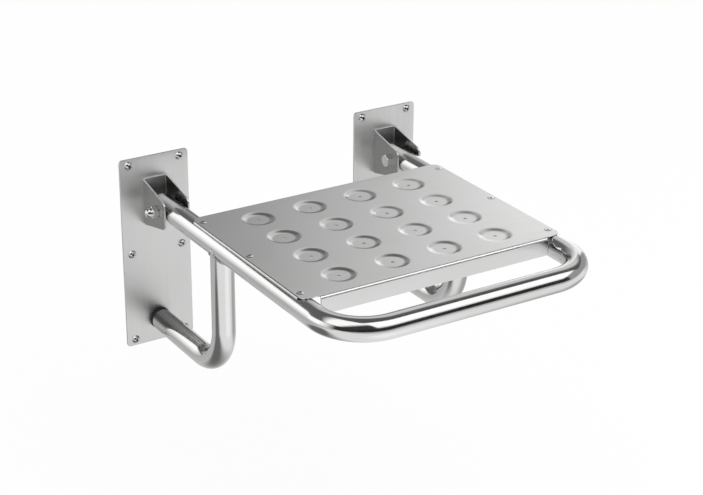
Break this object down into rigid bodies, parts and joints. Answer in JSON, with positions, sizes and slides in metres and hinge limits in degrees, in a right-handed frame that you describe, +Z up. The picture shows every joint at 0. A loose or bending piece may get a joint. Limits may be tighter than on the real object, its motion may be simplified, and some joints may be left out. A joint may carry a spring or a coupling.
{
  "type": "fold down wall seat",
  "caption": "Wall mounted shower seat: a dimpled steel panel on a bent tube frame with bent legs that rest on the wall plates, folding up on bracket pivots.",
  "frame": {"origin": "on the wall, midway between the two wall plates and halfway up them", "axes": "+Y into the wall, so the seat reaches out along -Y; +X to the right seen from the room; +Z up"},
  "size_m": [0.485, 0.534, 0.285],
  "materials": {
    "panel_steel": "satin stainless sheet",
    "tube_steel": "satin stainless tube",
    "plate_steel": "brushed stainless plate",
    "bracket_steel": "brushed stainless sheet",
    "fastener_steel": "bright stainless fasteners",
    "weld_steel": "ground stainless weld",
    "bumper_rubber": "matt black rubber",
    "washer_plastic": "matt black nylon"
  },
  "bodies": {
    "wall_side": {"wall_plate_left": "plate_steel", "wall_plate_right": "plate_steel", "wall_screws_left": "fastener_steel", "wall_screws_right": "fastener_steel", "hinge_bracket_left": "bracket_steel", "hinge_bracket_right": "bracket_steel", "pivot_bolt_left": "fastener_steel", "pivot_bolt_right": "fastener_steel", "pivot_nut_left": "fastener_steel", "pivot_nut_right": "fastener_steel", "pivot_washers_left": "washer_plastic", "pivot_washers_right": "washer_plastic"},
    "seat": {"seat_panel": "panel_steel", "panel_screws_left": "fastener_steel", "panel_screws_right": "fastener_steel", "seat_frame": "tube_steel", "leg_left": "tube_steel", "leg_right": "tube_steel", "leg_weld_left": "weld_steel", "leg_weld_right": "weld_steel", "bumper_left": "bumper_rubber", "bumper_right": "bumper_rubber"}
  },
  "joints": [
    {"name": "seat_fold", "type": "hinge", "parent": "wall_side", "child": "seat", "pos_m": [0, -0.0455, 0.0765], "axis": [-1, 0, 0], "range_deg": [0, 93]}
  ]
}
